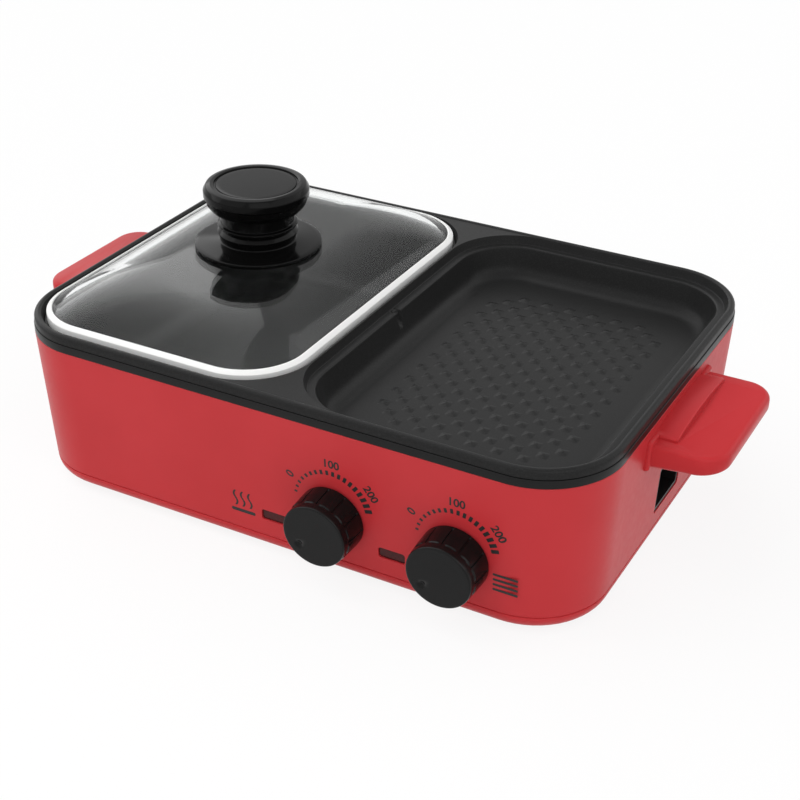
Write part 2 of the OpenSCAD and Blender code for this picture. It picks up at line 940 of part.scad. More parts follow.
module indicator_lens(x) {
    color([0.4, 0.07, 0.08])
        place()
            on_front(x - window_offset, z_window) {
                translate([0, 0, -wall_thickness - lens_flange])
                    linear_extrude(height = wall_thickness + lens_flange - lens_sink)
                        bar_plan(window_width - 2 * lens_gap, window_height - 2 * lens_gap,
                                 window_corner - lens_gap);
                translate([0, 0, -wall_thickness - lens_flange])
                    linear_extrude(height = lens_flange)
                        bar_plan(window_width + 2 * lens_border, window_height + 2 * lens_border, lens_border);
            }
}

module indicator_lamps() {
    color(cream)
        place()
            for (x = [pot_knob_x, grill_knob_x])
                on_front(x - window_offset, z_window)
                    translate([-window_width / 2, -window_height / 2, -wall_thickness - lens_flange - lamp_depth])
                        cube([window_width, window_height, lamp_depth]);
}

// Power inlet

module inlet_housing() {
    color(black)
        place()
            on_right(inlet_y, z_inlet)
                difference() {
                    union() {
                        translate([0, 0, -inlet_depth])
                            linear_extrude(height = inlet_depth - inlet_sink)
                                bar_plan(inlet_width - 2 * fit_gap, inlet_height - 2 * fit_gap, inlet_corner);
                        translate([0, 0, -wall_thickness - inlet_plate])
                            linear_extrude(height = inlet_plate)
                                bar_plan(inlet_width + 2 * inlet_flange, inlet_height + 2 * (inlet_flange - cut),
                                         inlet_corner);
                    }
                    translate([0, 0, inlet_wall - inlet_depth])
                        linear_extrude(height = inlet_depth)
                            bar_plan(inlet_width - 2 * inlet_wall, inlet_height - 2 * inlet_wall, inlet_corner);
                    inlet_pin_places()
                        rod(pin_radius, -inlet_depth - cut, 0);
                }
}

module inlet_pin_places() {
    for (place = [[-pin_spacing / 2, -pin_drop], [pin_spacing / 2, -pin_drop], [0, pin_drop]])
        translate([place[0], place[1], 0])
            children();
}

module inlet_pins() {
    color(brass)
        place()
            on_right(inlet_y, z_inlet)
                inlet_pin_places()
                    rod(pin_radius, -inlet_depth - pin_tail, inlet_wall + pin_length - inlet_depth);
}

// Heating

module tube_loop(side, z) {
    tail_x = side * (well_x - element_half_x);
    color(steel)
        place() {
            difference() {
                translate([side * well_x, 0, z])
                    sweep_round(element_half_x, element_half_y, element_radius)
                        circle(r = tube_radius);
                translate([tail_x - 2 * tube_radius, -element_mouth / 2, z - 2 * tube_radius])
                    cube([4 * tube_radius, element_mouth, 4 * tube_radius]);
            }
            for (sy = [-1, 1])
                translate([tail_x, sy * element_mouth / 2, 0]) {
                    translate([0, 0, z])
                        sphere(r = tube_radius);
                    rod(tube_radius, z - element_tail, z);
                }
        }
}

module pot_element() {
    tube_loop(-1, pot_under - tube_gap - tube_radius);
}

module grill_element() {
    tube_loop(1, grill_under - tube_gap - tube_radius);
}

// Each clamp is a block on the floor's underside with a lip under the tube
module tube_clamps(side, under) {
    drop = 2 * (tube_gap + tube_radius);
    for (sx = [-1, 1], sy = [-1, 1])
        translate([side * well_x + sx * element_half_x, sy * element_half_y * clamp_place, under])
            mirror([sx > 0 ? 1 : 0, 0, 0]) {
                translate([tube_radius + tube_gap, -clamp_width / 2, -drop - clamp_lip])
                    cube([clamp_block, clamp_width, drop + clamp_lip]);
                translate([-tube_radius, -clamp_width / 2, -drop - clamp_lip])
                    cube([2 * tube_radius + clamp_block / 2, clamp_width, clamp_lip]);
            }
}

module element_clamps() {
    color(steel)
        place() {
            tube_clamps(-1, pot_under);
            tube_clamps(1, grill_under);
        }
}

module limiter(side, under) {
    translate([side * well_x, 0, 0]) {
        rod(limiter_radius, under - limiter_height, under);
        translate([-limiter_radius - limiter_ear, -limiter_radius / 2, under - limiter_plate])
            cube([2 * (limiter_radius + limiter_ear), limiter_radius, limiter_plate]);
    }
}

module limiters() {
    color(cream)
        place() {
            limiter(-1, pot_under);
            limiter(1, grill_under);
        }
}

module shield(side, z) {
    tail_x = side * (well_x - element_half_x);
    color(steel)
        place()
            difference() {
                translate([side * well_x, 0, 0])
                    rounded_block(shield_half_x, shield_half_y, element_radius, z, z + shield_thickness);
                at_ties(side)
                    rod(tie_radius + fit_gap, z - cut, z + shield_thickness + cut);
                translate([tail_x - 3 * tube_radius, -element_mouth, z - cut])
                    cube([6 * tube_radius, 2 * element_mouth, shield_thickness + 2 * cut]);
            }
}

module pot_shield() {
    shield(-1, pot_shield_z);
}

module grill_shield() {
    shield(1, grill_shield_z);
}

module tie_screw(z_end) {
    rod(tie_radius, z_base, z_end);
    rod(tie_head, z_base, z_base + tie_head_height);
}

module tie_screws() {
    color(steel)
        place() {
            at_ties(-1)
                tie_screw(pot_shield_z + shield_thickness + tie_grip);
            at_ties(1)
                tie_screw(grill_shield_z + shield_thickness + tie_grip);
        }
}

module terminal_block() {
    color(cream)
        place()
            difference() {
                translate([block_x, inlet_y - block_size[1] / 2, z_floor])
                    cube(block_size);
                for (i = [-1, 0, 1])
                    translate([block_x + block_size[0] / 2, inlet_y + i * block_size[1] / 4, 0])
                        rod(terminal_radius, terminal_z, z_floor + block_size[2] + cut);
            }
}

// A wire is a run of straight rods with balls at the bends
module wire_leg(from, to) {
    way = to - from;
    length = norm(way);
    translate(from)
        rotate([0, acos(way[2] / length), atan2(way[1], way[0])])
            cylinder(r = wire_radius, h = length, $fn = 24);
}

module wire(points) {
    for (i = [1:len(points) - 1])
        wire_leg(points[i - 1], points[i]);
    for (i = [1:len(points) - 2])
        translate(points[i])
            sphere(r = wire_radius, $fn = 24);
}

module wiring() {
    tag_depth = housing_front + housing_size[2] + tag_length / 2;
    tag_y = -half_y(z_knob) + tag_depth * cos(draft);
    tag_z = z_knob + tag_depth * sin(draft) - tag_thickness / 2 - fit_gap;
    tag_x = housing_size[0] / 4;
    tail = inlet_depth + pin_tail + fit_gap;
    tail_x = half_x(z_inlet) - tail * cos(draft) + pin_drop * sin(draft);
    tail_z = z_inlet + tail * sin(draft) + pin_drop * cos(draft);
    low_run = z_floor + 2 * wire_radius;
    high_run = low_run + 3 * wire_radius;
    color([0.8, 0.75, 0.7])
        place() {
            for (i = [-1, 1]) {
                wire_y = inlet_y + i * block_size[1] / 4;
                wire([[block_x, wire_y, high_run],
                      [grill_knob_x - i * tag_x, wire_y, high_run],
                      [grill_knob_x - i * tag_x, tag_y, high_run],
                      [grill_knob_x - i * tag_x, tag_y, tag_z]]);
                wire([[block_x, wire_y, low_run],
                      [pot_knob_x - i * tag_x, wire_y, low_run],
                      [pot_knob_x - i * tag_x, tag_y, low_run],
                      [pot_knob_x - i * tag_x, tag_y, tag_z]]);
            }
            wire([[block_x + block_size[0] / 2, inlet_y, terminal_z],
                  [block_x + block_size[0] / 2, inlet_y, tail_z],
                  [tail_x, inlet_y, tail_z]]);
        }
}

body_shell();
base_cover();
feet();
rim_skirt();
cooking_plate();
handle_left();
handle_right();
handle_screws();
lid_rim();
lid_glass();
lid_knob_flange();
lid_knob();
lid_knob_screw();
control_knob(pot_knob_x);  // pot_knob
control_knob(grill_knob_x);  // grill_knob
control_shaft(pot_knob_x);  // pot_shaft
control_shaft(grill_knob_x);  // grill_shaft
thermostat(pot_knob_x);  // pot_thermostat
thermostat(grill_knob_x);  // grill_thermostat
thermostat_nuts();
indicator_lens(pot_knob_x);  // pot_lens
indicator_lens(grill_knob_x);  // grill_lens
indicator_lamps();
inlet_housing();
inlet_pins();
pot_element();
grill_element();
element_clamps();
limiters();
pot_shield();
grill_shield();
tie_screws();
terminal_block();
wiring();
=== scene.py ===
import math

import bmesh
import bpy
from mathutils import Matrix, Vector


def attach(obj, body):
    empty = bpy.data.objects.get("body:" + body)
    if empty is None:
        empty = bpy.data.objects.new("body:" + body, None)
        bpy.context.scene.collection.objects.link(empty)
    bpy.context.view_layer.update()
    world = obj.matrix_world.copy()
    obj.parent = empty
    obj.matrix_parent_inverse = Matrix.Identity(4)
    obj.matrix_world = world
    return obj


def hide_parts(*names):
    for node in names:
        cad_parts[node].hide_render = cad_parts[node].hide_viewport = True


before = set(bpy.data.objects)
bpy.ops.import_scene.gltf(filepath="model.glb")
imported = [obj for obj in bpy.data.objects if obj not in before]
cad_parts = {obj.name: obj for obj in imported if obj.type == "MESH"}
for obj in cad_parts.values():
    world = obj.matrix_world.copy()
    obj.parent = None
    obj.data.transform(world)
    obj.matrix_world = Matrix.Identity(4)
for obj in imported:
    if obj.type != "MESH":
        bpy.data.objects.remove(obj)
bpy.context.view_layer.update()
scene = bpy.context.scene

# Sizes in millimetres, from the middle of the pot on the table; the frame lies SHIFT further back
MM = 0.001
SHIFT = 8.546
RIM_X, RIM_Y, RIM_R = 170.0, 120.7, 43.0
BASE_R = 40.4
DRAFT_INSET = 4.2
BASE_ROUNDING = 8.0
Z_BASE, Z_PARTING, Z_RIM, Z_LIP, Z_LAND = 3.0, 11.2, 88.8, 93.5, 98.1
WALL = 2.6
WELL_CX, WELL_X, WELL_Y, WELL_R = 83.175, 82.725, 116.6, 38.9
LEDGE = 4.7
GRILL_DEPTH, POT_DEPTH = 22.1, 58.0
STUD_PITCH = 7.1
KNOB_XS = (34.0, 102.9)
Z_KNOB = 37.5
KNOB_REACH = 18.8
Z_WINDOW = 24.9
WINDOW_OFFSET = 35.4
DRAFT = math.atan(DRAFT_INSET / (Z_RIM - Z_BASE))
Z_HANDLE = 80.4
INLET_Y, Z_INLET = 3.2, 35.0
LID_KNOB_Z = 114.6
LID_EDGE = -6.3
DOME_FLAT, DOME_STRAIGHT = 31.4, 1.4


def lean(z):
    """How far the wall stands in from the rim's outline at a height."""
    return DRAFT_INSET * (1 - (z - Z_BASE) / (Z_RIM - Z_BASE))


def wall_corner(z):
    return BASE_R + (RIM_R - BASE_R) * (z - Z_BASE) / (Z_RIM - Z_BASE)


# Mesh helpers


def make_object(name, points, faces, material, body, smooth=40.0, nodes=()):
    """A piece from points in millimetres. It rides on a body and stands for CAD nodes."""
    mesh = bpy.data.meshes.new(name)
    mesh.from_pydata([((x) * MM, (y + SHIFT) * MM, z * MM) for x, y, z in points], [], faces)
    mesh.validate()
    bm = bmesh.new()
    bm.from_mesh(mesh)
    bmesh.ops.recalc_face_normals(bm, faces=bm.faces)
    bm.to_mesh(mesh)
    bm.free()
    mesh.shade_smooth()
    mesh.set_sharp_from_angle(angle=math.radians(smooth))
    obj = bpy.data.objects.new(name, mesh)
    scene.collection.objects.link(obj)
    dress(obj, material)
    if body:
        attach(obj, body)
    if nodes:
        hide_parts(*nodes)
    return obj


def dress(obj, material):
    obj.data.materials.clear()
    obj.data.materials.append(material)


def bake(obj, smooth=40.0):
    """Applies an object's modifiers."""
    graph = bpy.context.evaluated_depsgraph_get()
    mesh = bpy.data.meshes.new_from_object(obj.evaluated_get(graph))
    obj.modifiers.clear()
    obj.data = mesh
    mesh.shade_smooth()
    mesh.set_sharp_from_angle(angle=math.radians(smooth))


def combine(obj, others, operation):
    for other in others:
        modifier = obj.modifiers.new("combine", "BOOLEAN")
        modifier.operation = operation
        modifier.solver = "EXACT"
        modifier.object = other
    bake(obj)
    for other in others:
        bpy.data.objects.remove(other)


def soften(obj, width, segments=3, angle=32.0):
    modifier = obj.modifiers.new("soften", "BEVEL")
    modifier.width = width * MM
    modifier.segments = segments
    modifier.limit_method = "ANGLE"
    modifier.angle_limit = math.radians(angle)
    modifier.harden_normals = True
    modifier.miter_outer = "MITER_ARC"
    return modifier


def stations(hx, hy, r, steps=14, extra=()):
    """Places and outward directions round a rounded rectangle, counter-clockwise from the right side.
    extra holds Y places on the left side that get a station of their own."""
    out = []
    corners = ((1, 1, 0), (-1, 1, 90), (-1, -1, 180), (1, -1, 270))
    for k, (sx, sy, start) in enumerate(corners):
        for i in range(steps + 1):
            a = math.radians(start + 90.0 * i / steps)
            out.append((sx * (hx - r), sy * (hy - r), math.cos(a), math.sin(a)))
        a = math.radians(start + 90)
        nx, ny = round(math.cos(a)), round(math.sin(a))
        tx, ty = corners[(k + 1) % 4][:2]
        ax, ay = sx * (hx - r), sy * (hy - r)
        bx, by = tx * (hx - r), ty * (hy - r)
        length = math.hypot(bx - ax, by - ay)
        end = min(0.08, 2.5 / length)
        places = [end, 0.12, 0.3, 0.5, 0.7, 0.88, 1 - end]
        if nx == -1 and extra:
            places = sorted(set(places + [(ay - y) / length for y in extra]))
        for t in places:
            out.append((ax + (bx - ax) * t, ay + (by - ay) * t, nx, ny))
    return out


def loft(rings, closed_section=False):
    """Faces between equal rings of points, each ring closed."""
    n = len(rings[0])
    points = [p for ring in rings for p in ring]
    faces = []
    last = len(rings) if closed_section else len(rings) - 1
    for i in range(last):
        a, b = i * n, ((i + 1) % len(rings)) * n
        for j in range(n):
            k = (j + 1) % n
            faces.append((a + j, a + k, b + k, b + j))
    return points, faces


def round_rings(section, hx, hy, r, cx=0.0, z0=0.0, steps=14, extra=(), shape=None):
    """A section of (outward, up) points carried round a rounded rectangle."""
    rings = []
    places = stations(hx, hy, r, steps, extra)
    for u, v in section:
        ring = []
        for px, py, nx, ny in places:
            du, dv = shape(py, nx, u, v) if shape else (0.0, 0.0)
            ring.append((cx + px + nx * (r + u + du), py + ny * (r + u + du), z0 + v + dv))
        rings.append(ring)
    return rings


def revolve(section, steps=96):
    """A section of (radius, up) points turned about Z; points on the axis close it."""
    points, faces, rows = [], [], []
    for r, z in section:
        if r < 1e-6:
            rows.append([len(points)] * steps)
            points.append((0.0, 0.0, z))
        else:
            rows.append(list(range(len(points), len(points) + steps)))
            points += [(r * math.cos(math.tau * i / steps), r * math.sin(math.tau * i / steps), z)
                       for i in range(steps)]
    for a, b in zip(rows, rows[1:]):
        for i in range(steps):
            k = (i + 1) % steps
            face = [a[i], a[k], b[k], b[i]]
            face = [p for j, p in enumerate(face) if p not in face[:j]]
            if len(face) > 2:
                faces.append(face)
    return points, faces


def arc(cx, cy, r, start, end, steps):
    return [(cx + r * math.cos(math.radians(start + (end - start) * i / steps)),
             cy + r * math.sin(math.radians(start + (end - start) * i / steps))) for i in range(steps + 1)]


def rounded(corners, steps=5):
    """A section through corner points (x, y, radius), with each corner rounded."""
    out = [tuple(corners[0][:2])]
    for before, here, after in zip(corners, corners[1:], corners[2:]):
        p, a, b = Vector(here[:2]), Vector(before[:2]), Vector(after[:2])
        r = here[2]
        if r <= 0:
            out.append(tuple(p))
            continue
        da, db = (a - p).normalized(), (b - p).normalized()
        half = da.angle(db) / 2
        cut = min(r / math.tan(half), 0.48 * (a - p).length, 0.48 * (b - p).length)
        start, end = p + da * cut, p + db * cut
        for i in range(steps + 1):
            t = i / steps
            q = start * (1 - t) ** 2 + p * 2 * t * (1 - t) + end * t * t
            out.append(tuple(q))
    out.append(tuple(corners[-1][:2]))
    return out


def front(x, z):
    """Matrix from a local frame on the front wall, X along it, Y up it, Z out of it, in millimetres."""
    y = -(RIM_Y - lean(z))
    up = Vector((0, -math.sin(DRAFT), math.cos(DRAFT)))
    out = Vector((0, -math.cos(DRAFT), -math.sin(DRAFT)))
    return Matrix(((1, up.x, out.x, x), (0, up.y, out.y, y), (0, up.z, out.z, z), (0, 0, 0, 1)))


def side(y, z, sign):
    """The same on the right wall (sign 1) or the left one (sign -1)."""
    x = sign * (RIM_X - lean(z))
    along = Vector((0, sign, 0))
    up = Vector((sign * math.sin(DRAFT), 0, math.cos(DRAFT)))
    out = Vector((sign * math.cos(DRAFT), 0, -math.sin(DRAFT)))
    return Matrix(((along.x, up.x, out.x, x), (along.y, up.y, out.y, y),
                   (along.z, up.z, out.z, z), (0, 0, 0, 1)))


def moved(matrix, points):
    return [tuple(matrix @ Vector(p)) for p in points]


def bar_outline(width, height, r, steps=6):
    out = []
    for sx, sy, start in ((1, 1, 0), (-1, 1, 90), (-1, -1, 180), (1, -1, 270)):
        cx, cy = sx * (width / 2 - r), sy * (height / 2 - r)
        out += arc(cx, cy, r, start, start + 90, steps)
    return out


def prism(outline, low, high):
    """A closed plate from an outline in X and Y."""
    n = len(outline)
    points = [(x, y, low) for x, y in outline] + [(x, y, high) for x, y in outline]
    faces = [tuple(range(n - 1, -1, -1)), tuple(range(n, 2 * n))]
    faces += [(i, (i + 1) % n, n + (i + 1) % n, n + i) for i in range(n)]
    return points, faces


def join(shapes):
    points, faces = [], []
    for some_points, some_faces in shapes:
        base = len(points)
        points += some_points
        faces += [tuple(base + i for i in face) for face in some_faces]
    return points, faces


# Materials


def new_material(name, color, roughness, metallic=0.0, specular=0.5):
    material = bpy.data.materials.new(name)
    material.use_nodes = True
    tree = material.node_tree
    shader = tree.nodes["Principled BSDF"]
    shader.inputs["Base Color"].default_value = (*color, 1)
    shader.inputs["Roughness"].default_value = roughness
    shader.inputs["Metallic"].default_value = metallic
    shader.inputs["Specular IOR Level"].default_value = specular
    return material, tree, shader


def grain(tree, scale, detail=2.0):
    """Noise over the object's own coordinates; scale is in grains per metre."""
    place = tree.nodes.new("ShaderNodeTexCoord")
    noise = tree.nodes.new("ShaderNodeTexNoise")
    noise.inputs["Scale"].default_value = scale
    noise.inputs["Detail"].default_value = detail
    tree.links.new(place.outputs["Object"], noise.inputs["Vector"])
    return noise


def spread(tree, source, low, high, target, start=0.35, end=0.65):
    """Maps noise to a range of colours or numbers on a shader input."""
    ramp = tree.nodes.new("ShaderNodeValToRGB")
    ramp.color_ramp.elements[0].position = start
    ramp.color_ramp.elements[1].position = end
    ramp.color_ramp.elements[0].color = low
    ramp.color_ramp.elements[1].color = high
    tree.links.new(source.outputs["Fac"], ramp.inputs["Fac"])
    tree.links.new(ramp.outputs["Color"], target)


def bump(tree, shader, source, strength, distance):
    node = tree.nodes.new("ShaderNodeBump")
    node.inputs["Strength"].default_value = strength
    node.inputs["Distance"].default_value = distance
    tree.links.new(source.outputs["Fac"], node.inputs["Height"])
    tree.links.new(node.outputs["Normal"], shader.inputs["Normal"])


def grey(v):
    return (v, v, v, 1)


def moulded(name, low, high, rough_low, rough_high, grains, strength, specular=0.3):
    """Moulded plastic: a fine even skin with a little drift of colour and gloss."""
    material, tree, shader = new_material(name, low[:3], rough_low, 0.0, specular)
    spread(tree, grain(tree, 18, 3), low, high, shader.inputs["Base Color"])
    spread(tree, grain(tree, 260, 2), grey(rough_low), grey(rough_high), shader.inputs["Roughness"])
    bump(tree, shader, grain(tree, grains, 1), strength, 0.00004)
    return material


RED_LOW, RED_HIGH = (0.50, 0.030, 0.035, 1), (0.53, 0.034, 0.040, 1)
RED = moulded("red_plastic", RED_LOW, RED_HIGH, 0.36, 0.40, 1900, 0.05, 0.14)
GRIP = moulded("handle_plastic", RED_LOW, RED_HIGH, 0.28, 0.30, 1900, 0.006, 0.08)
BLACK = moulded("black_plastic", grey(0.008), grey(0.010), 0.30, 0.34, 1700, 0.06, 0.15)
KNOB = moulded("knob_plastic", grey(0.0045), grey(0.006), 0.23, 0.25, 2600, 0.012, 0.15)
LID_KNOB = moulded("lid_knob_plastic", grey(0.003), grey(0.004), 0.11, 0.13, 2600, 0.006, 0.08)
CREAM = moulded("cream_plastic", (0.72, 0.66, 0.50, 1), (0.76, 0.70, 0.55, 1), 0.5, 0.56, 1500, 0.15)
INK = moulded("printed_ink", grey(0.012), grey(0.018), 0.45, 0.55, 2500, 0.05)
SLEEVE = moulded("wire_sleeve", (0.6, 0.52, 0.45, 1), (0.68, 0.6, 0.53, 1), 0.7, 0.8, 1200, 0.4)
RUBBER = moulded("foot_rubber", grey(0.018), grey(0.026), 0.7, 0.8, 1400, 0.35)
WHITE = moulded("white_silicone", (0.91, 0.91, 0.90, 1), (0.94, 0.94, 0.93, 1), 0.32, 0.36, 1600, 0.04,
                0.12)


def nonstick_material():
    """Black non-stick coat: a fine pebbled skin with faint paler specks."""
    material, tree, shader = new_material("nonstick_coat", (0.02,) * 3, 0.34, 0.0, 0.08)
    spread(tree, grain(tree, 1500, 2), grey(0.016), grey(0.025), shader.inputs["Base Color"], 0.45, 0.75)
    spread(tree, grain(tree, 420, 3), grey(0.31), grey(0.36), shader.inputs["Roughness"])
    bump(tree, shader, grain(tree, 1600, 2), 0.06, 0.00005)
    return material


def metal(name, color, rough_low, rough_high, grains):
    material, tree, shader = new_material(name, color[:3], rough_low, 1.0)
    spread(tree, grain(tree, grains, 3), grey(rough_low), grey(rough_high), shader.inputs["Roughness"])
    bump(tree, shader, grain(tree, 2.5 * grains, 2), 0.12, 0.00003)
    return material


def glass_material():
    material, tree, shader = new_material("clear_glass", (0.97, 0.985, 0.98), 0.0)
    shader.inputs["Transmission Weight"].default_value = 1.0
    shader.inputs["IOR"].default_value = 1.2
    spread(tree, grain(tree, 40, 2), grey(0.0), grey(0.003), shader.inputs["Roughness"])
    return material


def lens_material():
    material, tree, shader = new_material("red_lens", (0.07, 0.008, 0.008), 0.2, 0.0, 0.1)
    shader.inputs["Transmission Weight"].default_value = 0.2
    dark, pale = (0.06, 0.007, 0.007, 1), (0.085, 0.010, 0.010, 1)
    spread(tree, grain(tree, 600, 2), dark, pale, shader.inputs["Base Color"])
    return material


NONSTICK = nonstick_material()
GLASS = glass_material()
LENS = lens_material()
STEEL = metal("zinc_steel", (0.62, 0.63, 0.64), 0.28, 0.42, 500)
TUBE = metal("tube_steel", (0.33, 0.33, 0.34), 0.4, 0.55, 700)
SHEET = metal("sheet_steel", (0.66, 0.67, 0.68), 0.22, 0.34, 300)
BRASS = metal("pin_brass", (0.78, 0.76, 0.70), 0.2, 0.3, 600)

# Red body: the wall, the base cover and its groove


def wall_ring(z, inset):
    """A ring of points on the leaning wall."""
    hx, hy, r = RIM_X - lean(z) - inset, RIM_Y - lean(z) - inset, wall_corner(z) - inset
    return [(px + nx * r, py + ny * r, z) for px, py, nx, ny in stations(hx, hy, r)]


def build_body():
    low = Z_PARTING + 0.5
    heights = [low, low + 0.4, low + 3, 24, 40, 56, 72, Z_RIM - 3, Z_RIM - 0.3, Z_RIM]
    insets = [0.4, 0.0] + [0.0] * 7 + [0.3]
    rings = [wall_ring(z, inset) for z, inset in zip(heights, insets)]
    rings += [wall_ring(z, WALL) for z in (Z_RIM, low)]
    points, faces = loft(rings, True)
    body = make_object("body_wall", points, faces, RED, "pot_base", nodes=("body_shell",))
    cutters = []
    for x in KNOB_XS:
        outline = arc(0, 0, 5.25, 0, 360, 47)[:-1]
        cutters.append((front(x, Z_KNOB), prism(outline, -8, 4)))
        cutters.append((front(x - WINDOW_OFFSET, Z_WINDOW), prism(bar_outline(15.1, 6.3, 1.5), -8, 4)))
    cutters.append((side(INLET_Y, Z_INLET, 1), prism(bar_outline(35.4, 28, 1.5), -9, 6)))
    tools = []
    for matrix, (shape_points, shape_faces) in cutters:
        tools.append(make_object("cutter", moved(matrix, shape_points), shape_faces, RED, None))
    combine(body, tools, "DIFFERENCE")
    return body


def base_ring(z, inset):
    """A ring on the base cover, set in from the outline at the parting groove."""
    return wall_ring(z, inset + lean(Z_PARTING) - lean(z))


def build_base():
    """The base cover: a rounded lower edge, a floor with screw recesses and the step behind the groove."""
    section = [(Z_PARTING + 1.2, 0.55), (Z_PARTING + 0.1, 0.55),
               (Z_PARTING, 0.35), (Z_PARTING - 0.15, 0.08)]
    section += [(Z_BASE + y, -x) for x, y in arc(-BASE_ROUNDING, BASE_ROUNDING, BASE_ROUNDING, -5, -90, 12)]
    rings = [base_ring(z, inset) for z, inset in section]
    points, faces = loft(rings)
    outer = rings[-1]
    bm = bmesh.new()
    loops = [[bm.verts.new(p) for p in outer]]
    walls = []
    for sx in (-1, 1):
        for sy in (-1, 1):
            cx, cy = sx * WELL_CX, sy * 0.45 * WELL_Y
            mouth = [(cx + x, cy + y, Z_BASE) for x, y in arc(0, 0, 4.25, 0, 360, 24)[:-1]]
            loops.append([bm.verts.new(p) for p in mouth])
            n = len(mouth)
            deep = [(x, y, Z_BASE + 1.2) for x, y, z in mouth]
            walls.append((mouth + deep, [(i, (i + 1) % n, n + (i + 1) % n, n + i) for i in range(n)]
                          + [tuple(range(n, 2 * n))]))
    edges = []
    for ring in loops:
        edges += [bm.edges.new((a, b)) for a, b in zip(ring, ring[1:] + ring[:1])]
    bmesh.ops.triangle_fill(bm, use_beauty=True, edges=edges)
    bm.verts.index_update()
    floor = ([tuple(v.co) for v in bm.verts], [tuple(v.index for v in f.verts) for f in bm.faces])
    bm.free()
    points, faces = join([(points, faces), floor] + walls)
    return make_object("base_cover_skin", points, faces, RED, "pot_base",
                       nodes=("base_cover",))


def build_feet():
    shapes = []
    section = [(0, 0), (6.4, 0)] + arc(8.2, 0.8, 0.8, -90, 0, 4) + [(9, 2.6), (8.8, 3.0), (0, 3.0)]
    for sx in (-1, 1):
        for sy in (-1, 1):
            points, faces = revolve(section, 40)
            cx, cy = sx * 125.8, sy * 82.5
            shapes.append(([(x + cx, y + cy, z) for x, y, z in points], faces))
    points, faces = join(shapes)
    return make_object("rubber_feet", points, faces, RUBBER, "pot_base", nodes=("feet",))


build_body()
build_base()
build_feet()

# Black skirt and cooking plate


def build_skirt():
    section = rounded([(-3.4, Z_RIM, 0), (0, Z_RIM, 0.5), (0, Z_LIP - 0.15, 0.35), (-3.4, Z_LIP - 0.15, 0)])
    points, faces = loft(round_rings(section, RIM_X, RIM_Y, RIM_R, steps=20), True)
    make_object("rim_skirt_ring", points, faces, BLACK, "pot_base", nodes=("rim_skirt",))


def well_section(depth, fillet, angle):
    """From the recess edge over the lid ledge and down the wall to the edge of the floor."""
    a = math.radians(angle)
    floor_u = -(6.0 + (depth - LEDGE) * math.tan(a))
    corners = [(0.1, 0, 0), (-0.05, 0, 0.45), (-1.7, -LEDGE, 0.5), (-6.0, -LEDGE, 1.5),
               (floor_u, -depth, fillet), (floor_u - 3 * fillet, -depth, 0)]
    points = rounded(corners, 9)[:-1]
    filled = [points[0]]
    for p, q in zip(points, points[1:]):
        gap = math.dist(p, q)
        parts = max(1, math.ceil(gap / 1.6)) if q[1] > -16 else max(1, math.ceil(gap / 6))
        for i in range(1, parts + 1):
            filled.append((p[0] + (q[0] - p[0]) * i / parts, p[1] + (q[1] - p[1]) * i / parts))
    return filled


def notch(py, nx, u, v):
    """The notch on the grill side of the divider, down from the ledge."""
    half, deep, inner, reach = 2.6, 2.2, 2.4, 14
    if nx > -0.9 or abs(py) > 4 or u > -inner or v < -reach:
        return 0.0, 0.0
    width = half if v > -LEDGE - 1.5 else half - 0.11 * (-v - LEDGE - 1.5)
    share = max(0.0, 1 - (abs(py) / width) ** 4)
    fade = min(1.0, max(0.0, (v + reach) / 3))
    if v > -LEDGE - 0.05:
        return 0.0, -deep * share * min(1.0, (-u - inner) / 0.8)
    return deep * share * fade, 0.0


def stud(cx, cy, z):
    """A low pyramid with softened ridges and a foot that runs out into the floor."""
    rings = [(3.2, 0.0, 0.9), (2.8, 0.06, 0.6), (2.4, 0.17, 0.4), (0.6, 0.87, 0.2), (0.3, 0.95, 0.1)]
    points, faces = [], []
    for half, up, cut in rings:
        points += [(cx + x, cy + y, z + up) for x, y in (
            (half, -half + cut), (half, half - cut), (half - cut, half), (-half + cut, half),
            (-half, half - cut), (-half, -half + cut), (-half + cut, -half), (half - cut, -half))]
    for i in range(len(rings) - 1):
        for j in range(8):
            k = (j + 1) % 8
            faces.append((8 * i + j, 8 * i + k, 8 * i + 8 + k, 8 * i + 8 + j))
    top = 8 * (len(rings) - 1)
    faces.append(tuple(range(top, top + 8)))
    return points, faces


